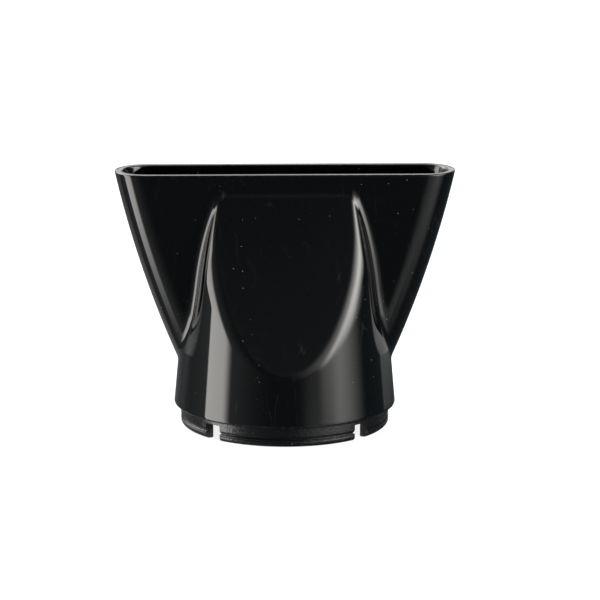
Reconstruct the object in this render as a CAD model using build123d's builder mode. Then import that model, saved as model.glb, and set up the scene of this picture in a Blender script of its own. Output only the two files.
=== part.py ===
from build123d import *
import os
from math import cos, radians, sin, sqrt, tan

# Air concentrator nozzle of a hair dryer: a polished shell that turns on a coupling sleeve.
# The sleeve plugs into the dryer's barrel and the air leaves through the flat outlet at the top.
# Millimetres, +Z up along the swivel axis, X along the outlet.
# Heights are measured from the skirt's lower edge, and the finished pieces are lifted at the end,
# so that the nozzle stands on its sleeve at Z = 0.

# ---- nozzle shell: outside ---------------------------------------------------------------
skirt_radius = 25.0        # round skirt at its lower edge
skirt_taper = 5.1          # half angle of the skirt's cone, degrees
cone_height = 29.0         # the straight cone ends here and the shoulder arc begins
shoulder_arc = 52.0        # arc that rounds the cone over towards the horn tips
outlet_height = 53.2       # outlet rim above the skirt's lower edge
outlet_width = 76.2        # outlet, overall
outlet_depth = 14.4        # thickness of the flat duct, overall
waist_height = 10.6        # the flared duct leaves the skirt here
flare_arc = 232.0          # large arc of the duct's two sides
face_foot = 11.3           # foot of the sloped front and back faces on the skirt
rim_band = 4.2             # flat band between the sloped faces and the rim
face_edge = 4.8            # rounding where a sloped face meets the round shell
shell_wall = 1.8
rim_round = 0.35           # small rounding of the rim and of the skirt's lower edge

# ---- joint between shell and sleeve --------------------------------------------------------
bore_step = 1.8            # skirt wall beside the bore, at the skirt's lower edge
bore_length = 7.0          # depth of the bore that takes the sleeve
running_gap = 0.05         # radial clearance of the swivel
end_gap = 0.1              # axial clearance of the swivel
rib_start = 4.0            # lower side of the shell's snap rib
rib_length = 1.0
rib_height = 0.6           # how far the rib stands into the bore
hook_gap = 0.25            # radial clearance round the sleeve's hook

# ---- coupling sleeve -----------------------------------------------------------------------
neck_inset = 1.5           # the neck's outside lies this far inside the skirt's lower edge
lip_height = 0.35          # thrust lip that runs under the skirt's edge
lip_reach = 0.2            # how far the lip stands out from the neck
neck_length = 1.95
groove_length = 0.7        # retaining groove between neck and snap bead
groove_depth = 0.9
bead_length = 0.8          # full-width part of the snap bead
bead_lead = 0.85           # rounded lead-in below it
sleeve_wall = 1.8
slot_width = 3.9           # four slots that make the spring tabs
slot_top = 1.2             # slots end this far below the skirt's edge
slot_count = 4
slot_angle = 45.0          # first slot, from the outlet's long axis

# ---- values that follow --------------------------------------------------------------------
taper = radians(skirt_taper)
bore_radius = skirt_radius - bore_step
rib_radius = bore_radius - rib_height
face_top = outlet_height - rim_band
half_depth = outlet_depth / 2
neck_radius = skirt_radius - neck_inset
sleeve_bore = neck_radius - sleeve_wall
lip_top = -end_gap
neck_top = lip_top - lip_height
groove_top = neck_top - neck_length
bead_top = groove_top - groove_length
bead_bottom = bead_top - bead_length
sleeve_bottom = bead_bottom - bead_lead
cut = 1.0                  # how far a cutting shape runs past the face it opens


def cone_radius(height, inset=0.0):
    """Radius of the straight skirt cone, moved inwards by inset."""
    return skirt_radius - height * tan(taper) - inset / cos(taper)


shoulder_centre_r = cone_radius(cone_height) - shoulder_arc * cos(taper)
shoulder_centre_z = cone_height - shoulder_arc * sin(taper)


def shoulder_radius(height, inset=0.0):
    """Radius of the rounded shoulder, an arc tangent to the cone, moved inwards by inset."""
    drop = height - shoulder_centre_z
    return shoulder_centre_r + sqrt((shoulder_arc - inset) ** 2 - drop**2)


# The duct's side is an arc of flare_arc through the waist and the rim's corner.
waist_x = cone_radius(waist_height)
rim_x = outlet_width / 2
rise = outlet_height - waist_height
spread = rim_x - waist_x
chord = sqrt(rise**2 + spread**2)
apothem = sqrt(flare_arc**2 - (chord / 2) ** 2)
flare_centre_x = (waist_x + rim_x) / 2 - apothem * rise / chord
flare_centre_z = (waist_height + outlet_height) / 2 + apothem * spread / chord


def duct_half_width(height, inset=0.0):
    """Half width of the flared duct, moved inwards by inset."""
    drop = height - flare_centre_z
    return flare_centre_x + sqrt((flare_arc - inset) ** 2 - drop**2)


foot_y = cone_radius(face_foot)
face_slope = (foot_y - half_depth) / (face_top - face_foot)
face_tilt_cos = 1 / sqrt(1 + face_slope**2)


def face_y(height, inset=0.0):
    """Distance of a sloped face from the middle plane, moved inwards by inset."""
    return foot_y - (height - face_foot) * face_slope - inset / face_tilt_cos


dome_top = face_top + rim_band / 2      # hidden inside the flat duct
duct_start = waist_height / 2           # hidden inside the skirt
duct_sections = 6


def round_profile(inset, bottom):
    """Half the section of the skirt and shoulder in the XZ plane, moved inwards by inset."""
    tangent_z = cone_height - inset * sin(taper)
    middle_z = (tangent_z + dome_top) / 2
    with BuildSketch(Plane.XZ) as section:
        with BuildLine():
            Polyline(
                (0, dome_top),
                (0, bottom),
                (cone_radius(bottom, inset), bottom),
                (cone_radius(tangent_z, inset), tangent_z),
            )
            ThreePointArc(
                (cone_radius(tangent_z, inset), tangent_z),
                (shoulder_radius(middle_z, inset), middle_z),
                (shoulder_radius(dome_top, inset), dome_top),
            )
            Line((shoulder_radius(dome_top, inset), dome_top), (0, dome_top))
        make_face()
    return section.sketch


def face_cutters(inset):
    """Sections, in the YZ plane, of all that lies outside the two sloped faces."""
    outside = skirt_radius + cut
    low = -cut
    high = dome_top + cut
    with BuildSketch(Plane.YZ.offset(-outside)) as section:
        with BuildLine():
            Polyline(
                (face_y(low, inset), low),
                (2 * outside, low),
                (2 * outside, high),
                (face_y(high, inset), high),
                close=True,
            )
        make_face()
        mirror(about=Plane.YZ)
    return section.sketch


def duct_section(height, inset):
    """Stadium section of the flat duct, moved inwards by inset."""
    with BuildSketch(Plane.XY.offset(height)) as section:
        SlotOverall(2 * duct_half_width(height, inset), outlet_depth - 2 * inset)
    return section.sketch


def duct_stack(top, inset):
    """Sections of the flat duct, evenly spaced from inside the skirt up to top."""
    step = (top - duct_start) / (duct_sections - 1)
    return [duct_section(duct_start + index * step, inset) for index in range(duct_sections)]


# ---- nozzle shell ----------------------------------------------------------------------------
# Outer form: a round body of revolution cut by the two sloped faces, whose edges are rounded.
with BuildPart() as horned_body:
    revolve(round_profile(0.0, 0.0), axis=Axis.Z)
    extrude(face_cutters(0.0), amount=2 * (skirt_radius + cut), mode=Mode.SUBTRACT)
    planes = horned_body.faces().filter_by(GeomType.PLANE)
    sloped = [face for face in planes if abs(face.normal_at().Y) > face_tilt_cos / 2]
    outline = [edge for face in sloped for edge in face.edges()]
    fillet([edge for edge in outline if edge.center().Z < dome_top - cut], face_edge)

# Air space in the round body, one wall inside the outer form.
with BuildPart() as horned_space:
    revolve(round_profile(shell_wall, -cut), axis=Axis.Z)
    extrude(face_cutters(shell_wall), amount=2 * (skirt_radius + cut), mode=Mode.SUBTRACT)

# Bore for the sleeve, with the snap rib left standing in it.
with BuildPart() as sleeve_seat:
    with BuildSketch(Plane.XZ):
        with BuildLine():
            Polyline(
                (0, -cut),
                (bore_radius, -cut),
                (bore_radius, rib_start - rib_height),
                (rib_radius, rib_start),
                (rib_radius, rib_start + rib_length),
                (bore_radius, rib_start + rib_length),
                (bore_radius, bore_length),
                (0, bore_length),
                close=True,
            )
        make_face()
    revolve(axis=Axis.Z)

with BuildPart() as nozzle_shell:
    add(horned_body.part)
    loft(duct_stack(outlet_height, 0.0))
    add(horned_space.part, mode=Mode.SUBTRACT)
    loft(duct_stack(outlet_height + cut, shell_wall), mode=Mode.SUBTRACT)
    add(sleeve_seat.part, mode=Mode.SUBTRACT)
    rim = nozzle_shell.faces().sort_by(Axis.Z)[-1]
    fillet(rim.edges(), rim_round)
    skirt_edge = nozzle_shell.faces().sort_by(Axis.Z)[0].edges().sort_by(SortBy.LENGTH)[-1]
    fillet(skirt_edge, rim_round)

nozzle_shell.part.label = "nozzle_shell"

# ---- coupling sleeve ---------------------------------------------------------------------------
body_radius = bore_radius - running_gap
waist_radius = rib_radius - running_gap
hook_radius = bore_radius - hook_gap
body_top = rib_start - rib_height - end_gap
hook_bottom = rib_start + rib_length + end_gap
hook_chamfer = (hook_radius - waist_radius) * 2
sleeve_top = bore_length - end_gap
hook_land = sleeve_top - hook_chamfer
groove_radius = neck_radius - groove_depth
bead_foot_radius = neck_radius - bead_lead

with BuildPart() as coupling_sleeve:
    with BuildSketch(Plane.XZ):
        with BuildLine():
            Polyline(
                (bead_foot_radius, sleeve_bottom),
                (sleeve_bore, sleeve_bottom),
                (sleeve_bore, sleeve_top),
                (waist_radius, sleeve_top),
                (hook_radius, hook_land),
                (hook_radius, hook_bottom),
                (waist_radius, hook_bottom),
                (waist_radius, body_top + rib_height),
                (body_radius, body_top),
                (body_radius, lip_top),
                (neck_radius + lip_reach, lip_top),
                (neck_radius + lip_reach, neck_top),
                (neck_radius, neck_top),
                (neck_radius, groove_top),
                (groove_radius, bead_top),
                (neck_radius, bead_top),
                (neck_radius, bead_bottom),
            )
            RadiusArc((neck_radius, bead_bottom), (bead_foot_radius, sleeve_bottom), bead_lead)
        make_face()
    revolve(axis=Axis.Z)
    slot_height = -slot_top - sleeve_bottom
    with BuildSketch(Plane.XY.offset(sleeve_bottom)):
        with PolarLocations(neck_radius, slot_count, start_angle=slot_angle):
            Rectangle(2 * (sleeve_wall + cut), slot_width)
    extrude(amount=slot_height, mode=Mode.SUBTRACT)

coupling_sleeve.part.label = "coupling_sleeve"

# ---- stand the finished nozzle on the sleeve's foot --------------------------------------------
lift = Location((0, 0, -sleeve_bottom))
nozzle_shell.part.move(lift)
coupling_sleeve.part.move(lift)

os.makedirs("parts", exist_ok=True)
export_step(nozzle_shell.part, "parts/nozzle_shell.step")
export_step(coupling_sleeve.part, "parts/coupling_sleeve.step")
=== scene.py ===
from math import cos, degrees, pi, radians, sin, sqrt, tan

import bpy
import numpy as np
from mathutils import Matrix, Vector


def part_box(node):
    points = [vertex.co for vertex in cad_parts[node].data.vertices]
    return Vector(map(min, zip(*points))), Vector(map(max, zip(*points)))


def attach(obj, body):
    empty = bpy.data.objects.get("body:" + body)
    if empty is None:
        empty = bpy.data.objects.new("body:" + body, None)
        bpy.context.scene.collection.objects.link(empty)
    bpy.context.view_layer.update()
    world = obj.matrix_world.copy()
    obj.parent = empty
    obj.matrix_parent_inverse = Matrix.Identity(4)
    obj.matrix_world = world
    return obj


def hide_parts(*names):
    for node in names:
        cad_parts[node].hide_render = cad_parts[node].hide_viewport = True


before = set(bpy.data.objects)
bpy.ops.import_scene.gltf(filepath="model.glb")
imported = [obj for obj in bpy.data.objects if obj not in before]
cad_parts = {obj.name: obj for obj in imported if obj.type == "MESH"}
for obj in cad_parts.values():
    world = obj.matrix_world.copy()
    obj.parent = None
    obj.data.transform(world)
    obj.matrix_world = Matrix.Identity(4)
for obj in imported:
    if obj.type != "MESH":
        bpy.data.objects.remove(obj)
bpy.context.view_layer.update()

# %% [markdown]
# # A hair dryer's concentrator nozzle
# The real object is two black mouldings: a polished shell that squeezes a round air stream into a flat
# one, and a fine-grained coupling sleeve that plugs into the dryer. The shell turns on the sleeve.
# Polished black plastic has almost no colour of its own, so what the eye sees is the shape of its
# reflections. The lesson is therefore mostly about an exact surface, and about lights to mirror in it.
# All lengths are in metres, heights in the form count from the skirt's lower edge, and x runs along
# the outlet.

MM = 0.001
shell_low, shell_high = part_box("nozzle_shell")
sleeve_low, sleeve_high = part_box("coupling_sleeve")

FOOT_Z = sleeve_low.z
SKIRT_Z = shell_low.z
RIM_Z = shell_high.z
SKIRT_R = shell_high.y
LIP_ROUND = 0.35 * MM        # small rounding of the rim and of the skirt's lower edge
RIM_LEAN = 0.26              # the duct's side leans out by this much per unit of height at the rim
OUTLET_HALF = shell_high.x + LIP_ROUND * RIM_LEAN
print("outlet", round(2 * OUTLET_HALF / MM, 1), "mm wide,", round((RIM_Z - FOOT_Z) / MM, 1), "mm tall")

# %% [markdown]
# ## The camera
# The nozzle is seen from slightly above and a little to one side of its front, with a long lens from
# three quarters of a metre. A long lens keeps the rim's two ends nearly equal. The frame's centre is
# not on the object, so a small lens shift places it instead of a turned camera.

# %% Camera
CAMERA_DISTANCE = 0.75
CAMERA_HEIGHT = 0.171        # above the point that it looks at
CAMERA_TURN = 1.88           # degrees round the object from its front
LOOK_HEIGHT = 0.025          # above the skirt's lower edge
LENS = 205.1
ROLL = 0.12                  # degrees
SHIFT = (0.0252, -0.0127)


def add_camera():
    """A camera on a circle round the object, aimed at a point on the swivel axis."""
    data = bpy.data.cameras.new("camera")
    data.sensor_width = 36
    data.lens = LENS
    data.shift_x, data.shift_y = SHIFT
    camera = bpy.data.objects.new("camera", data)
    target = Vector((0, 0, SKIRT_Z + LOOK_HEIGHT))
    turn = radians(CAMERA_TURN)
    away = Vector((-sin(turn), -cos(turn), 0)) * CAMERA_DISTANCE
    camera.location = target + away + Vector((0, 0, CAMERA_HEIGHT))
    camera.rotation_euler = (target - camera.location).to_track_quat("-Z", "Y").to_euler()
    camera.rotation_euler.rotate_axis("Z", radians(ROLL))
    bpy.context.scene.collection.objects.link(camera)
    bpy.context.scene.camera = camera
    return camera


camera = add_camera()
print("camera", round(camera.location.length, 3), "m from the origin")

# %% [markdown]
# ## The shell's form as a field
# The moulding is a round body and a flat flared duct run into each other. The round body is a cone that
# rounds over at the shoulder, with a sloped face cut into its front and back. A field says how far any
# point lies outside the form, and is negative inside. Fields of simple bodies join with a minimum, cut
# with a maximum, and a rounded minimum or maximum leaves a fillet of a known radius. Moving the whole
# form inwards by the wall is then only a matter of looking for a lower value of the same field.

# %% Sizes of the form
SKIRT_TAPER = radians(5.1)
CONE_TOP = 29.0 * MM          # the straight cone ends here, above the skirt's lower edge
SHOULDER_ARC = 52.0 * MM
DUCT_HALF_DEPTH = 7.2 * MM
WAIST = 10.1 * MM             # the duct leaves the skirt at this height
FLARE_ARC = 232.0 * MM
FACE_FOOT = 11.3 * MM         # foot of the sloped face on the skirt
RIM_BAND = 4.2 * MM           # flat band between the sloped face and the rim
FLANK_PINCH = 1.25 * MM       # the round body is drawn in beside the duct, most at mid height
PINCH_LOW, PINCH_HIGH = 13.0 * MM, 50.0 * MM
PINCH_START, PINCH_FULL = 0.8, 0.94    # sideways shares of the direction from the axis
WALL = 1.8 * MM
EDGE_ROUND = 5.8 * MM         # round edge of the sloped face
EDGE_TOP = 49.3 * MM          # the round edge is sharp here, where the face runs into the duct
EDGE_FADE = 18.0 * MM         # and full this far below
BLEND_BAND = 2.0 * MM         # over this width one hollow's radius passes into the other's
CREASE_ROUND = 2.3 * MM       # hollow between duct and round body
BREAK_ROUND = 4.0 * MM        # soft bend from the sloped face into the flat band
HEIGHT = RIM_Z - SKIRT_Z


def cone_radius(height):
    """Radius of the straight cone: the skirt's radius less height times the taper's tangent."""
    return SKIRT_R - height * np.tan(SKIRT_TAPER)


SHOULDER_R = cone_radius(CONE_TOP) - SHOULDER_ARC * cos(SKIRT_TAPER)
SHOULDER_Z = CONE_TOP - SHOULDER_ARC * sin(SKIRT_TAPER)

# The duct's side is an arc through the waist and the rim: its centre lies square to the chord.
waist_x = cone_radius(WAIST)
chord = np.array([OUTLET_HALF - waist_x, HEIGHT - WAIST])
chord_length = np.hypot(*chord)
apothem = sqrt(FLARE_ARC**2 - (chord_length / 2) ** 2)
FLARE_X = (waist_x + OUTLET_HALF) / 2 - apothem * chord[1] / chord_length
FLARE_Z = (WAIST + HEIGHT) / 2 + apothem * chord[0] / chord_length

FACE_FOOT_Y = cone_radius(FACE_FOOT)
FACE_SLOPE = (FACE_FOOT_Y - DUCT_HALF_DEPTH) / (HEIGHT - RIM_BAND - FACE_FOOT)
FACE_COS = 1 / sqrt(1 + FACE_SLOPE**2)
FACE_SIN = FACE_SLOPE * FACE_COS
print("sloped face leans", round(degrees(np.arctan(FACE_SLOPE)), 1), "degrees")

# %% Rounded joins of two fields
TINY = 1e-6


def rounded_cut(a, b, radius):
    """Larger of two fields; where both are within radius of zero, a quarter circle joins them."""
    return np.minimum(-radius, np.maximum(a, b)) + np.hypot(
        np.maximum(radius + a, 0), np.maximum(radius + b, 0)
    )


def rounded_join(a, b, radius):
    """Smaller of two fields, with a hollow quarter circle in the corner between them."""
    return np.maximum(radius, np.minimum(a, b)) - np.hypot(
        np.maximum(radius - a, 0), np.maximum(radius - b, 0)
    )


def form(x, y, z):
    """Distance outside the shell's outer form at points x, y and height z over the skirt's edge.

    Round body: distance to the cone, or to the shoulder's arc above the cone's end.
    Flanks: beside the duct the round body is drawn in by half a sine wave of its height.
    Sloped faces: distance to a leaning plane, the same at the front and the back. Their round edge
    grows from nothing at the top by a quarter of a sine wave.
    Duct: distance to a stadium whose half width follows the flare's arc.
    A fillet of true radius R between faces whose normals meet at cosine c needs R * (1 - c) here.
    """
    x, y = np.abs(x), np.abs(y)
    radius = np.hypot(x, y) + TINY
    out, up = radius - SHOULDER_R, z - SHOULDER_Z
    reach = np.hypot(out, up)
    on_arc = up > out * tan(SKIRT_TAPER)
    body = np.where(on_arc, reach - SHOULDER_ARC, (radius - cone_radius(z)) * cos(SKIRT_TAPER))
    body_out = np.where(on_arc, out / reach, cos(SKIRT_TAPER))
    body_up = np.where(on_arc, up / reach, sin(SKIRT_TAPER))
    sideways = np.clip((x / radius - PINCH_START) / (PINCH_FULL - PINCH_START), 0, 1)
    level = np.clip((z - PINCH_LOW) / (PINCH_HIGH - PINCH_LOW), 0, 1)
    body += FLANK_PINCH * np.sin(pi * level) * sideways**2 * (3 - 2 * sideways)
    face = (y - FACE_FOOT_Y + (z - FACE_FOOT) * FACE_SLOPE) * FACE_COS
    cosine = body_out * y / radius * FACE_COS + body_up * FACE_SIN
    grown = np.sin(pi / 2 * np.clip((EDGE_TOP - z) / EDGE_FADE, 0, 1))
    horned = rounded_cut(body, face, np.maximum(EDGE_ROUND * grown * (1 - cosine), TINY))

    drop = np.sqrt(FLARE_ARC**2 - (z - FLARE_Z) ** 2)
    lean = (FLARE_Z - z) / drop
    past_end = np.maximum(x - (FLARE_X + drop - DUCT_HALF_DEPTH), 0)
    across = np.hypot(past_end, y) + TINY
    steep = np.sqrt(1 + (lean * past_end / across) ** 2)
    duct = (across - DUCT_HALF_DEPTH) / steep
    duct_x, duct_y = past_end / across / steep, y / across / steep
    duct_z = -lean * duct_x
    with_body = duct_x * body_out * x / radius + duct_y * body_out * y / radius + duct_z * body_up
    with_face = duct_y * FACE_COS + duct_z * FACE_SIN
    near_body = np.clip((body - face) / BLEND_BAND + 0.5, 0, 1)
    hollow = CREASE_ROUND * (1 - with_body) * near_body + BREAK_ROUND * (1 - with_face) * (1 - near_body)
    return rounded_join(duct, horned, np.maximum(hollow, TINY))


HALVINGS = 34
SEARCH_MARGIN = 2.0 * MM      # the wall lies further out than this, and no further past the outlet


def wall_radius(angle, height, inset):
    """Distance from the axis to the form moved inwards by inset, found by halving an interval."""
    near = np.full(np.broadcast(angle, height).shape, SEARCH_MARGIN)
    far = np.full_like(near, OUTLET_HALF + SEARCH_MARGIN)
    for _ in range(HALVINGS):
        middle = (near + far) / 2
        outside = form(middle * np.cos(angle), middle * np.sin(angle), height) > -inset
        far = np.where(outside, middle, far)
        near = np.where(outside, near, middle)
    return (near + far) / 2


print("rim half width", round(float(wall_radius(0.0, HEIGHT, 0.0)) / MM, 2), "mm")

# %% [markdown]
# ## The shell as one closed strip of rows
# The form is a single distance from the axis in every direction, so one grid covers it: columns are
# angles round the axis, rows climb the outside, roll over the rim, go down the inside, through the bore
# that holds the sleeve, and close under the skirt. Both directions close on themselves, so the mesh is
# watertight. Rows and columns crowd together where the surface bends quickly.

# %% Where rows and columns go
QUARTER_COLUMNS = 100
OUTSIDE_ROWS = 150
INSIDE_ROWS = 42
BEND_ROWS = 6
CROWD_STEPS = 4000
HORN_CROWD = (radians(30), radians(22), 1.8)    # place, width and strength of each crowding
WAIST_CROWD = (12 * MM, 2.5 * MM, 1.6)
BREAK_CROWD = (49 * MM, 3 * MM, 1.2)
BORE_R = SKIRT_R - 1.8 * MM
BORE_TOP = 7.0 * MM
BORE_CHAMFER = 0.2 * MM
RIB_R = BORE_R - 0.6 * MM    # snap rib in the bore
RIB_LOW, RIB_TOP = 4.0 * MM, 5.0 * MM
RIB_LEAD = 0.6 * MM          # sloped underside of the rib, over which the sleeve snaps in


def crowd(low, high, count, bumps):
    """count places from low to high, closer together near each bump (place, width, strength)."""
    fine = np.linspace(low, high, CROWD_STEPS)
    density = np.ones_like(fine)
    for place, width, strength in bumps:
        density += strength * np.exp(-(((fine - place) / width) ** 2))
    total = np.concatenate([[0], np.cumsum((density[1:] + density[:-1]) / 2)])
    return np.interp(np.linspace(0, total[-1], count), total, fine)


quarter = crowd(0, pi / 2, QUARTER_COLUMNS + 1, [HORN_CROWD])
angles = np.concatenate([quarter[:-1], pi - quarter[:0:-1], pi + quarter[:-1], 2 * pi - quarter[:0:-1]])
bend = np.linspace(0, pi / 2, BEND_ROWS)
round_up, round_in = LIP_ROUND * (1 - np.sin(bend)), LIP_ROUND * (1 - np.cos(bend))
outside = crowd(LIP_ROUND, HEIGHT - LIP_ROUND, OUTSIDE_ROWS, [WAIST_CROWD, BREAK_CROWD])
inside = np.linspace(HEIGHT - LIP_ROUND, BORE_TOP, INSIDE_ROWS)

# Each row of the form is a height and an inset from the outer surface.
row_heights = np.concatenate(
    [round_up[::-1], outside[1:-1], HEIGHT - round_up, HEIGHT - round_up[::-1], inside[1:]]
)
outer_insets = [round_in[::-1], np.zeros(len(outside) - 2), round_in]
inner_insets = [WALL - round_in[::-1], np.full(len(inside) - 1, WALL)]
row_insets = np.concatenate(outer_insets + inner_insets)
# Each row of the bore is a height and a plain radius.
bore_heights = np.array([BORE_TOP, RIB_TOP, RIB_TOP, RIB_LOW, RIB_LOW - RIB_LEAD, BORE_CHAMFER, 0.0])
bore_radii = np.array([BORE_R, BORE_R, RIB_R, RIB_R, BORE_R, BORE_R, BORE_R + BORE_CHAMFER])
print(len(angles), "columns,", len(row_heights) + len(bore_heights), "rows")

# %% From a grid to a mesh


def closed_grid(name, points):
    """Mesh of a grid (rows, columns, xyz) that closes on itself both ways, one quad per cell."""
    rows, columns = points.shape[:2]
    index = np.arange(rows * columns).reshape(rows, columns)
    ahead, above = np.roll(index, -1, axis=1), np.roll(index, -1, axis=0)
    both = np.roll(ahead, -1, axis=0)
    quads = np.stack([index, ahead, both, above], axis=-1).reshape(-1, 4)
    return quad_mesh(name, points.reshape(-1, 3), quads)


def quad_mesh(name, vertices, quads):
    """Mesh from a vertex array and a quad array, written in whole arrays."""
    mesh = bpy.data.meshes.new(name)
    mesh.vertices.add(len(vertices))
    mesh.vertices.foreach_set("co", np.ascontiguousarray(vertices, np.float32).ravel())
    mesh.loops.add(quads.size)
    mesh.loops.foreach_set("vertex_index", quads.ravel().astype(np.int32))
    mesh.polygons.add(len(quads))
    mesh.polygons.foreach_set("loop_start", np.arange(0, quads.size, 4, dtype=np.int32))
    mesh.update(calc_edges=True)
    mesh.validate()
    return mesh


def place(mesh, name, sharp_degrees):
    """Object for a finished mesh, smooth except where faces meet at more than the given angle."""
    mesh.shade_smooth()
    mesh.set_sharp_from_angle(angle=radians(sharp_degrees))
    piece = bpy.data.objects.new(name, mesh)
    bpy.context.scene.collection.objects.link(piece)
    return piece


# %% The shell
shell_radii = wall_radius(angles[None, :], row_heights[:, None], row_insets[:, None])
shell_radii = np.vstack([shell_radii, np.repeat(bore_radii[:, None], len(angles), axis=1)])
shell_heights = np.concatenate([row_heights, bore_heights])
shell_points = np.stack(
    [
        shell_radii * np.cos(angles),
        shell_radii * np.sin(angles),
        np.repeat(shell_heights[:, None], len(angles), axis=1) + SKIRT_Z,
    ],
    axis=-1,
)
shell = place(closed_grid("polished_shell", shell_points), "polished_shell", sharp_degrees=50)
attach(shell, "shell")
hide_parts("nozzle_shell")
print("shell", len(shell.data.polygons), "quads")

# %% [markdown]
# ## The coupling sleeve
# The sleeve is turned: one closed outline carried round the axis. Four slots open its lower edge, so
# that the four arcs between them can spring inwards when it is pushed into the dryer. A boolean cut
# would leave ragged faces, so the slots are part of the grid: the columns beside a slot sit on its two
# parallel walls, the cells inside it are left out, and flat faces close the walls and the slot's top.
# The walls lean off the radius towards the long side, as cuts do that one straight tool makes in pairs.

# %% Outline of the sleeve
NECK_R = SKIRT_R - 1.5 * MM
LIP_R = sleeve_high.x
SLEEVE_BORE = NECK_R - 1.8 * MM
SLEEVE_TOP = sleeve_high.z - SKIRT_Z
SLEEVE_FOOT = sleeve_low.z - SKIRT_Z
SLOT_TOP = -1.2 * MM
SLOT_WIDTH = 3.9 * MM
SLOT_SLANT = radians(18)     # a slot's walls lean from the radius towards the object's long side
GAP = 0.05 * MM
BEAD_LEAD = 0.85 * MM
LEAD_STEPS = 6
FOOT_CHAMFER = 0.15 * MM
TOP_CHAMFER = 0.3 * MM
RUNNING_GAP = 2 * GAP        # clearance in height between the sleeve's steps and the shell's
BODY_GAP = 5 * GAP           # the sleeve's top stays this much clear of the bore

lead = np.linspace(0, pi / 2, LEAD_STEPS + 1)[1:]
lead_radii = NECK_R - BEAD_LEAD * (1 - np.cos(lead))
lead_heights = SLEEVE_FOOT + BEAD_LEAD * (1 - np.sin(lead))
outer_low = [
    (NECK_R, SLOT_TOP),
    (NECK_R, -2.35 * MM),
    (NECK_R - 0.12 * MM, -2.45 * MM),
    (NECK_R - 0.2 * MM, -2.8 * MM),
    (NECK_R - 0.42 * MM, -2.86 * MM),
    (NECK_R - 0.42 * MM, -3.1 * MM),
    (NECK_R - 0.08 * MM, -3.1 * MM),
    (NECK_R, -3.18 * MM),
    (NECK_R, -3.4 * MM),
    (NECK_R - 0.14 * MM, -3.48 * MM),
    (NECK_R, -3.56 * MM),
    (NECK_R, SLEEVE_FOOT + BEAD_LEAD),
]
inner_low = [
    (SLEEVE_BORE + FOOT_CHAMFER, SLEEVE_FOOT),
    (SLEEVE_BORE, SLEEVE_FOOT + FOOT_CHAMFER),
    (SLEEVE_BORE, SLOT_TOP),
]
upper = [
    (SLEEVE_BORE, SLEEVE_TOP - TOP_CHAMFER),
    (SLEEVE_BORE + TOP_CHAMFER, SLEEVE_TOP),
    (RIB_R - GAP, SLEEVE_TOP),
    (BORE_R - BODY_GAP, SLEEVE_TOP - 0.7 * MM),
    (BORE_R - BODY_GAP, RIB_TOP + RUNNING_GAP),
    (RIB_R - GAP, RIB_TOP + RUNNING_GAP),
    (RIB_R - GAP, RIB_LOW - RUNNING_GAP),
    (BORE_R - GAP, RIB_LOW - RIB_LEAD - RUNNING_GAP),
    (BORE_R - GAP, -RUNNING_GAP),
    (LIP_R, -RUNNING_GAP),
    (LIP_R, -0.4 * MM),
    (NECK_R + 0.05 * MM, -0.5 * MM),
    (NECK_R, -0.55 * MM),
]
low_part = np.array(outer_low + list(zip(lead_radii, lead_heights)) + inner_low)
outline = np.vstack([low_part, upper])
LOW_COUNT = len(low_part)
print("sleeve outline", len(outline), "points,", LOW_COUNT, "of them below the slots' top")

# %% Columns of the sleeve
TAB_COLUMNS = 56
SLOT_COLUMNS = 6
MOULDED_EDGE = 0.05 * MM


def slot_wall(radii, turn, side):
    """Angle of one straight slot wall at each radius.

    A line in direction D that passes the axis at the signed distance h meets radius r at the angle
    D + arcsin(h / r). Neighbouring slots mirror each other, so the slant changes its sign.
    """
    slant = SLOT_SLANT * (-1) ** turn
    passes_at = NECK_R * sin(slant) + side * SLOT_WIDTH / 2
    return pi / 4 + turn * pi / 2 - slant + np.arcsin(passes_at / radii)


def sleeve_angles(radii):
    """Angles (columns, points): columns spread evenly over each slot, then over the tab after it."""
    in_slot = np.linspace(0, 1, SLOT_COLUMNS)[:-1, None]
    in_tab = np.linspace(0, 1, TAB_COLUMNS)[:-1, None]
    columns = []
    for turn in range(4):
        start, end = slot_wall(radii, turn, -1), slot_wall(radii, turn, 1)
        next_start = slot_wall(radii, turn + 1, -1)
        columns += [start + in_slot * (end - start), end + in_tab * (next_start - end)]
    return np.concatenate(columns)


def slotted_ring(name):
    """The outline turned round the axis, with the low cells of slot columns replaced by flat faces."""
    turn = sleeve_angles(outline[:, 0])
    columns, count = turn.shape
    points = np.stack(
        [
            outline[:, 0] * np.cos(turn),
            outline[:, 0] * np.sin(turn),
            np.broadcast_to(outline[:, 1] + SKIRT_Z, turn.shape),
        ],
        axis=-1,
    )
    index = np.arange(columns * count).reshape(columns, count)
    ahead = np.roll(index, -1, axis=0)
    quads = np.stack([index, np.roll(index, -1, axis=1), np.roll(ahead, -1, axis=1), ahead], axis=-1)
    place_in_turn = np.arange(columns) % (columns // 4)
    is_slot = place_in_turn < SLOT_COLUMNS - 1
    is_low = np.arange(count) < LOW_COUNT - 1
    kept = quads[~(is_slot[:, None] & is_low[None, :])]
    last = LOW_COUNT - 1
    roof = np.stack([index[:, 0], index[:, last], ahead[:, last], ahead[:, 0]], axis=-1)[is_slot]
    first_wall = index[place_in_turn == 0, :LOW_COUNT]
    second_wall = index[place_in_turn == SLOT_COLUMNS - 1, :LOW_COUNT]
    walls = first_wall.tolist() + second_wall[:, ::-1].tolist()
    faces = kept.tolist() + roof.tolist() + walls
    mesh = bpy.data.meshes.new(name)
    mesh.from_pydata(points.reshape(-1, 3).tolist(), [], faces)
    mesh.validate()
    return mesh


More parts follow.
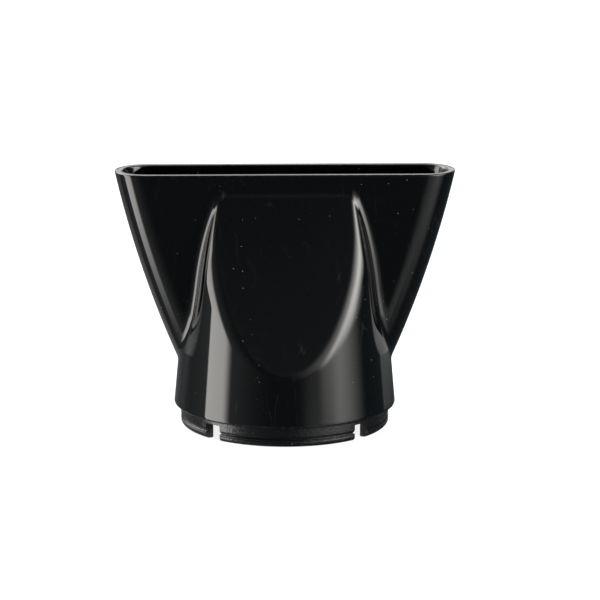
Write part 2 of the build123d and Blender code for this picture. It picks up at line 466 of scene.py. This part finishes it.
sleeve = place(slotted_ring("satin_sleeve"), "satin_sleeve", sharp_degrees=30)
rounding = sleeve.modifiers.new("moulded edges", "BEVEL")
rounding.width = MOULDED_EDGE
rounding.segments = 2
rounding.limit_method = "ANGLE"
rounding.angle_limit = radians(60)    # rounds slot and lip edges, and leaves shallow steps alone
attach(sleeve, "sleeve")
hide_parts("coupling_sleeve")
print("sleeve", len(sleeve.data.polygons), "faces")

# %% [markdown]
# ## Finishes
# Polished black plastic mirrors a few percent of the light and shows nearly nothing else, so its detail
# is in what disturbs the mirror: settled dust, hairlines from handling, faint smudges and rubbed edges.
# The sleeve came from an eroded mould, so it has a fine grain as well. Hairlines and lint on the shell
# and sparkle points in the sleeve's grain are also painted lighter in the base colour, a painted glint.
# Each effect is a node group that gives a mask or a height, and each finish places the groups with its
# own sizes. All patterns read object coordinates in metres, so a scale of 520 means 520 cells to the
# metre.

# %% Helpers for nodes


def add_node(tree, kind, values=None, **settings):
    """Add a node, set its properties, and fill its inputs with numbers or links."""
    node = tree.nodes.new(kind)
    for name, value in settings.items():
        setattr(node, name, value)
    for name, value in (values or {}).items():
        if isinstance(value, bpy.types.NodeSocket):
            tree.links.new(value, node.inputs[name])
        else:
            node.inputs[name].default_value = value
    return node


def maths(tree, operation, first, second=0.0):
    """Output of a Math node on two numbers or links."""
    return add_node(tree, "ShaderNodeMath", {0: first, 1: second}, operation=operation).outputs[0]


def ramp(tree, value, start, end, low=0.0, high=1.0):
    """Value carried smoothly from low at start to high at end, and held outside them."""
    places = {"Value": value, "From Min": start, "From Max": end, "To Min": low, "To Max": high}
    return add_node(tree, "ShaderNodeMapRange", places, interpolation_type="SMOOTHSTEP").outputs[0]


def noise(tree, vector, scale, detail=2.0):
    """Soft noise around one half."""
    values = {"Vector": vector, "Scale": scale, "Detail": detail}
    return add_node(tree, "ShaderNodeTexNoise", values).outputs["Fac"]


def new_group(name, numbers, outputs):
    """Node group that takes a Vector and the named numbers, and gives the named masks."""
    tree = bpy.data.node_groups.new(name, "ShaderNodeTree")
    tree.interface.new_socket("Vector", in_out="INPUT", socket_type="NodeSocketVector")
    for label in numbers:
        tree.interface.new_socket(label, in_out="INPUT", socket_type="NodeSocketFloat")
    for label in outputs:
        tree.interface.new_socket(label, in_out="OUTPUT", socket_type="NodeSocketFloat")
    return tree, tree.nodes.new("NodeGroupInput").outputs, tree.nodes.new("NodeGroupOutput").inputs


# %% Dust and hairlines


def make_dust():
    """Dust specks: spheres round the cell points of a Voronoi pattern, each of a random strength."""
    tree, given, result = new_group("dust specks", ["Cells", "Speck"], ["Mask"])
    cells = add_node(tree, "ShaderNodeTexVoronoi", {"Vector": given["Vector"], "Scale": given["Cells"]})
    inside = maths(tree, "DIVIDE", cells.outputs["Distance"], given["Speck"])
    chance = add_node(tree, "ShaderNodeSeparateColor", {"Color": cells.outputs["Color"]}).outputs["Red"]
    mask = maths(tree, "MULTIPLY", ramp(tree, inside, 1.0, 0.5), ramp(tree, chance, 0.1, 0.9))
    tree.links.new(mask, result["Mask"])
    return tree


def make_hairlines():
    """Hairlines: contour lines of a noise, |noise - 1/2| < Width, kept where a second noise is high."""
    tree, given, result = new_group("hairlines", ["Scale", "Width", "Cover"], ["Mask"])
    field = noise(tree, given["Vector"], given["Scale"], 1.0)
    off = maths(tree, "ABSOLUTE", maths(tree, "SUBTRACT", field, 0.5))
    line = ramp(tree, maths(tree, "DIVIDE", off, given["Width"]), 1.0, 0.3)
    patch = noise(tree, given["Vector"], maths(tree, "MULTIPLY", given["Scale"], 1.7), 2.0)
    kept = ramp(tree, maths(tree, "ADD", patch, given["Cover"]), 0.98, 1.06)
    tree.links.new(maths(tree, "MULTIPLY", line, kept), result["Mask"])
    return tree


dust = make_dust()
hairlines = make_hairlines()
print("groups:", dust.name + ",", hairlines.name)

# %% Rubbed edges, grain and smudges


def make_edge_wear():
    """Edge wear: heights within Reach of an edge's Height, broken up by a noise."""
    tree, given, result = new_group("edge wear", ["Height", "Reach", "Scale"], ["Mask"])
    height = add_node(tree, "ShaderNodeSeparateXYZ", {"Vector": given["Vector"]}).outputs["Z"]
    off = maths(tree, "ABSOLUTE", maths(tree, "SUBTRACT", height, given["Height"]))
    near = ramp(tree, maths(tree, "DIVIDE", off, given["Reach"]), 1.0, 0.2)
    rubbed = ramp(tree, noise(tree, given["Vector"], given["Scale"], 4.0), 0.46, 0.62)
    tree.links.new(maths(tree, "MULTIPLY", near, rubbed), result["Mask"])
    return tree


def make_grain():
    """Mould grain: rounded pits between the cell walls of a fine Voronoi pattern, plus fine noise.
    Sparkle marks the points that the sleeve's finish paints lighter, a painted sparkle.
    """
    tree, given, result = new_group("mould grain", ["Scale"], ["Relief", "Sparkle"])
    places = {"Vector": given["Vector"], "Scale": given["Scale"]}
    pits = add_node(tree, "ShaderNodeTexVoronoi", places, feature="SMOOTH_F1")
    fine = noise(tree, given["Vector"], maths(tree, "MULTIPLY", given["Scale"], 0.8), 3.0)
    tree.links.new(maths(tree, "ADD", pits.outputs["Distance"], fine), result["Relief"])
    tree.links.new(ramp(tree, fine, 0.6, 0.72), result["Sparkle"])
    return tree


def make_smudges():
    """Smudges: a slow noise with soft edges, as from fingers wiped off."""
    tree, given, result = new_group("smudges", ["Scale"], ["Mask"])
    cloud = noise(tree, given["Vector"], given["Scale"], 3.0)
    tree.links.new(ramp(tree, cloud, 0.42, 0.68), result["Mask"])
    return tree


edge_wear = make_edge_wear()
grain = make_grain()
smudges = make_smudges()
print("groups:", edge_wear.name + ",", grain.name + ",", smudges.name)

# %% Placing groups in a finish
# Colour of settled dust, and also of the painted glint that lightens the shell's hairlines and lint.
DUST_AND_GLINT_GREY = (0.3, 0.3, 0.29, 1)
RUBBED_GREY = (0.05, 0.052, 0.055, 1)
PLASTIC_IOR = 1.53


def placed(tree, group, values):
    """Outputs of a node that places a group in a finish with its own values."""
    return add_node(tree, "ShaderNodeGroup", values, node_tree=group).outputs


def blend(tree, amount, under, over):
    """Colour mixed from under to over by a mask."""
    return add_node(tree, "ShaderNodeMix", {0: amount, 6: under, 7: over}, data_type="RGBA").outputs[2]


def bump(tree, height, distance, under=None):
    """Normal from a relief of the given depth in metres, over another normal if there is one."""
    values = {"Height": height, "Distance": distance}
    if under is not None:
        values["Normal"] = under
    return add_node(tree, "ShaderNodeBump", values).outputs["Normal"]


def stretched(tree, vector, rotation, scale):
    """Coordinates turned and squeezed, so that a pattern on them runs long in one direction."""
    values = {"Vector": vector, "Rotation": rotation, "Scale": scale}
    return add_node(tree, "ShaderNodeMapping", values).outputs[0]


def new_plastic(name):
    """Material with object coordinates: the material, its tree, its shader and its coordinates."""
    material = bpy.data.materials.new(name)
    material.use_nodes = True
    tree = material.node_tree
    surface = tree.nodes["Principled BSDF"]
    surface.inputs["IOR"].default_value = PLASTIC_IOR
    return material, tree, surface, add_node(tree, "ShaderNodeTexCoord").outputs["Object"]


print("plastic mirrors", round(100 * ((PLASTIC_IOR - 1) / (PLASTIC_IOR + 1)) ** 2, 1), "% head on")

# %% The shell's finish
POLISHED_BLACK = (0.0008, 0.001, 0.0012, 1)
CLEAN_ROUGHNESS, SMUDGED_ROUGHNESS = 0.035, 0.06


def polished_black():
    """Nearly black and mirror smooth, with dust, hairlines, lint, smudges and rubbed edges; hairlines
    and lint also get a painted glint, a lighter base colour.
    """
    material, tree, surface, where = new_plastic("polished_black")
    specks = placed(tree, dust, {"Vector": where, "Cells": 520.0, "Speck": 0.05})["Mask"]
    fine_specks = placed(tree, dust, {"Vector": where, "Cells": 1100.0, "Speck": 0.055})["Mask"]
    upright = stretched(tree, where, (0.3, 0.5, 0.2), (1, 0.6, 0.16))
    hair_sizes = {"Vector": upright, "Scale": 260.0, "Width": 0.006, "Cover": 0.45}
    scratch = placed(tree, hairlines, hair_sizes)["Mask"]
    crossed = stretched(tree, where, (0.9, 0.2, 1.1), (0.3, 0.8, 1))
    lint_sizes = {"Vector": crossed, "Scale": 170.0, "Width": 0.005, "Cover": 0.33}
    lint = placed(tree, hairlines, lint_sizes)["Mask"]
    rim_sizes = {"Vector": where, "Height": RIM_Z, "Reach": 0.3 * MM, "Scale": 900.0}
    foot_sizes = {"Vector": where, "Height": SKIRT_Z, "Reach": 0.4 * MM, "Scale": 1100.0}
    rubbed = maths(
        tree,
        "MAXIMUM",
        placed(tree, edge_wear, rim_sizes)["Mask"],
        placed(tree, edge_wear, foot_sizes)["Mask"],
    )
    hazy = placed(tree, smudges, {"Vector": where, "Scale": 95.0})["Mask"]
    settled = maths(tree, "MAXIMUM", specks, maths(tree, "MULTIPLY", fine_specks, 0.35))
    faint_scratch = maths(tree, "MULTIPLY", scratch, 0.08)
    lines = maths(tree, "MAXIMUM", faint_scratch, maths(tree, "MULTIPLY", lint, 0.09))

    plain = blend(tree, maths(tree, "MULTIPLY", rubbed, 0.3), POLISHED_BLACK, RUBBED_GREY)
    # Dust is lighter by its own colour; hairlines and lint are painted lighter too, as a painted glint.
    light = maths(tree, "MAXIMUM", settled, maths(tree, "MULTIPLY", lines, 0.3))
    tree.links.new(blend(tree, light, plain, DUST_AND_GLINT_GREY), surface.inputs["Base Color"])
    wiped = ramp(tree, hazy, 0.0, 1.0, CLEAN_ROUGHNESS, SMUDGED_ROUGHNESS)
    rough = maths(tree, "ADD", wiped, maths(tree, "MULTIPLY", settled, 0.6))
    marks = maths(tree, "MULTIPLY", maths(tree, "ADD", lines, rubbed), 0.12)
    tree.links.new(maths(tree, "ADD", rough, marks), surface.inputs["Roughness"])
    waves = bump(tree, noise(tree, where, 130.0, 1.0), 0.012 * MM)
    relief = maths(tree, "SUBTRACT", settled, lines)
    tree.links.new(bump(tree, relief, 0.004 * MM, waves), surface.inputs["Normal"])
    return material


shell.data.materials.append(polished_black())
polished = shell.active_material
print("shell:", polished.name, "with", len(polished.node_tree.nodes), "nodes")

# %% The sleeve's finish
SATIN_BLACK = (0.0022, 0.0025, 0.003, 1)
# The lighter black is a painted sparkle on the grain's sparkle points, not a colour of the plastic.
GRAIN_AND_SPARKLE_BLACK = (0.006, 0.0062, 0.0065, 1)
PIT_ROUGHNESS, SPARK_ROUGHNESS = 0.26, 0.14


def satin_black():
    """Black with a fine grain that breaks up its highlights and carries a painted sparkle in its colour,
    dust and a rubbed foot.
    """
    material, tree, surface, where = new_plastic("satin_black")
    skin = placed(tree, grain, {"Vector": where, "Scale": 2400.0})
    specks = placed(tree, dust, {"Vector": where, "Cells": 600.0, "Speck": 0.07})["Mask"]
    foot_sizes = {"Vector": where, "Height": FOOT_Z + 0.1 * MM, "Reach": 0.35 * MM, "Scale": 900.0}
    foot = placed(tree, edge_wear, foot_sizes)["Mask"]
    # Painted sparkle: the grain's sparkle points get a lighter black base colour as well as a lower
    # roughness.
    plain = blend(tree, skin["Sparkle"], SATIN_BLACK, GRAIN_AND_SPARKLE_BLACK)
    plain = blend(tree, maths(tree, "MULTIPLY", foot, 0.35), plain, RUBBED_GREY)
    tree.links.new(blend(tree, specks, plain, DUST_AND_GLINT_GREY), surface.inputs["Base Color"])
    rough = ramp(tree, skin["Sparkle"], 0.0, 1.0, PIT_ROUGHNESS, SPARK_ROUGHNESS)
    dusty = maths(tree, "ADD", rough, maths(tree, "MULTIPLY", specks, 0.4))
    tree.links.new(dusty, surface.inputs["Roughness"])
    tree.links.new(bump(tree, skin["Relief"], 0.04 * MM), surface.inputs["Normal"])
    return material


sleeve.data.materials.append(satin_black())
satin = sleeve.active_material
print("sleeve:", satin.name, "with", len(satin.node_tree.nodes), "nodes")

# %% [markdown]
# ## The studio
# Polished plastic is lit by what it mirrors, so the lights are shapes to look at, not just sources.
# Lamps could light the nozzle, but a lamp's mirror image is even, with a hard edge all round. Each soft
# box here is a bent card whose glow fades in by its own amount at each side, which gives every bright
# band on the shell one crisp and one soft edge. The floor is left out of reflections, so that the
# underside of the flare stays dark, and it glows a little to read as a pale sweep.

# %% Floor
FLOOR_WIDTH = 8.0
FLOOR_GREY = (0.25, 0.25, 0.25, 1)
FLOOR_GLOW = 0.85


def flat_floor(name, height, width):
    """A square at the given height, centred under the object."""
    mesh = bpy.data.meshes.new(name)
    turns = [(-1, -1), (1, -1), (1, 1), (-1, 1)]
    mesh.from_pydata([(x * width / 2, y * width / 2, height) for x, y in turns], [], [(0, 1, 2, 3)])
    card = bpy.data.objects.new(name, mesh)
    bpy.context.scene.collection.objects.link(card)
    return card


floor = flat_floor("floor", FOOT_Z, FLOOR_WIDTH)
floor.visible_glossy = False
floor_finish = bpy.data.materials.new("pale_floor")
floor_finish.use_nodes = True
floor_surface = floor_finish.node_tree.nodes["Principled BSDF"]
floor_surface.inputs["Base Color"].default_value = FLOOR_GREY
floor_surface.inputs["Roughness"].default_value = 1.0
floor_surface.inputs["Emission Color"].default_value = (1, 1, 1, 1)
floor_surface.inputs["Emission Strength"].default_value = FLOOR_GLOW
floor.data.materials.append(floor_finish)
print("floor", FLOOR_WIDTH, "m wide at height", round(FOOT_Z, 4))

# %% Soft boxes
BOX_DISTANCE = 1.6
BOX_STEP = 0.02              # each box hangs this much further out than the one before it
BOX_GRID = (33, 25)
BOX_COLOUR = (1.0, 0.985, 0.95, 1)
boxes = []


def soft_box(name, centre, size, tilt, radiance, soft):
    """A soft box bent round the object: a rectangle on a sphere, in degrees of azimuth and elevation.

    Azimuth is 0 at the camera's side and grows to the right. The rectangle is turned by tilt, and its
    glow fades in by smooth steps over soft = (left, right, low, high) shares of its size. Boxes add
    their light to what hangs behind them.
    """
    across, up = np.meshgrid(np.linspace(0, 1, BOX_GRID[0]), np.linspace(0, 1, BOX_GRID[1]))
    wide, tall = (across - 0.5) * size[0], (up - 0.5) * size[1]
    lean = radians(tilt)
    azimuth = np.radians(centre[0] + wide * cos(lean) - tall * sin(lean) - CAMERA_TURN)
    elevation = np.radians(centre[1] + wide * sin(lean) + tall * cos(lean))
    reach = BOX_DISTANCE + BOX_STEP * len(boxes)
    level = np.cos(elevation)
    away = np.stack([np.sin(azimuth) * level, -np.cos(azimuth) * level, np.sin(elevation)], axis=-1)
    points = reach * away + np.array([0, 0, SKIRT_Z + LOOK_HEIGHT])
    index = np.arange(across.size).reshape(across.shape)
    corners = [index[:-1, :-1], index[1:, :-1], index[1:, 1:], index[:-1, 1:]]
    quads = np.stack(corners, axis=-1).reshape(-1, 4)
    mesh = quad_mesh(name, points.reshape(-1, 3), quads)
    chart = mesh.uv_layers.new(name="sheet")
    places = np.stack([across.ravel(), up.ravel()], axis=-1)[quads.ravel()]
    chart.data.foreach_set("uv", places.astype(np.float32).ravel())
    card = bpy.data.objects.new(name, mesh)
    bpy.context.scene.collection.objects.link(card)
    card.visible_camera = False
    card.data.materials.append(box_cloth(name, radiance, soft))
    boxes.append(card)
    return card


def box_cloth(name, radiance, soft):
    """Clear cloth that glows: emission times one smooth step for each edge of the sheet's chart."""
    material = bpy.data.materials.new(name)
    material.use_nodes = True
    tree = material.node_tree
    tree.nodes.clear()
    chart = add_node(tree, "ShaderNodeUVMap", uv_map="sheet").outputs["UV"]
    place = add_node(tree, "ShaderNodeSeparateXYZ", {"Vector": chart}).outputs
    left, right, low, high = soft
    strength = radiance
    for axis, edge, full in (("X", 0, left), ("X", 1, 1 - right), ("Y", 0, low), ("Y", 1, 1 - high)):
        strength = maths(tree, "MULTIPLY", ramp(tree, place[axis], edge, full), strength)
    glow = add_node(tree, "ShaderNodeEmission", {"Color": BOX_COLOUR, "Strength": strength}).outputs[0]
    clear = add_node(tree, "ShaderNodeBsdfTransparent").outputs[0]
    both = add_node(tree, "ShaderNodeAddShader", {0: glow, 1: clear}).outputs[0]
    add_node(tree, "ShaderNodeOutputMaterial", {"Surface": both})
    return material


soft_box("left_soft_box", (-74, -5), (33, 60), 2, 5.7, (0.05, 0.35, 0.25, 0.08))
soft_box("right_soft_box", (68, 22.5), (37, 87), -60, 8.5, (0.58, 0.88, 0.17, 0.1))
soft_box("right_low_glow", (63, -12.5), (51, 52), -31, 5.6, (0.42, 1.0, 1.0, 0.19))
soft_box("overhead_glow", (42, 14.5), (78, 48), -2.6, 13.3, (1.0, 0.43, 1.0, 0.11))
soft_box("left_fill", (-66, -40), (122, 151), 12, 0.39, (0.6, 0.58, 0.46, 0.1))
soft_box("left_back_glow", (-121, 32), (77, 74), 29, 20, (0.88, 0.8, 0.35, 0.07))
soft_box("right_front_panel", (32, -22), (38, 44), 0, 0.42, (0.5, 0.3, 0.2, 0.2))
soft_box("front_ceiling_glow", (0, 26), (60, 26), 0, 0.07, (0.3, 0.3, 0.2, 0.3))
soft_box("backdrop", (198, 40), (88, 62), 0, 1.4, (0.1, 0.02, 0.04, 0.3))
soft_box("low_backdrop", (207, -30), (70, 48), 0, 0.35, (0.2, 0.02, 0.1, 0.5))
soft_box("horizon_glow", (180, -3), (114, 22), 0, 0.55, (0.04, 0.75, 0.3, 0.3))
print(len(boxes), "soft boxes,", ", ".join(box.name for box in boxes))

# %% Surroundings
ROOM_COLOUR = (0.74, 0.91, 1.0, 1)
ROOM_STRENGTH = 0.08

world = bpy.data.worlds.new("studio")
bpy.context.scene.world = world
world.use_nodes = True
tree = world.node_tree
dim_room = tree.nodes["Background"]
dim_room.inputs["Color"].default_value = ROOM_COLOUR
dim_room.inputs["Strength"].default_value = ROOM_STRENGTH
pale_wall = add_node(tree, "ShaderNodeBackground", {"Color": (1, 1, 1, 1)}).outputs[0]
seen = add_node(tree, "ShaderNodeLightPath").outputs["Is Camera Ray"]
choice = add_node(tree, "ShaderNodeMixShader", {0: seen, 1: dim_room.outputs[0], 2: pale_wall})
tree.links.new(choice.outputs[0], tree.nodes["World Output"].inputs["Surface"])
bpy.context.scene.view_settings.view_transform = "Standard"
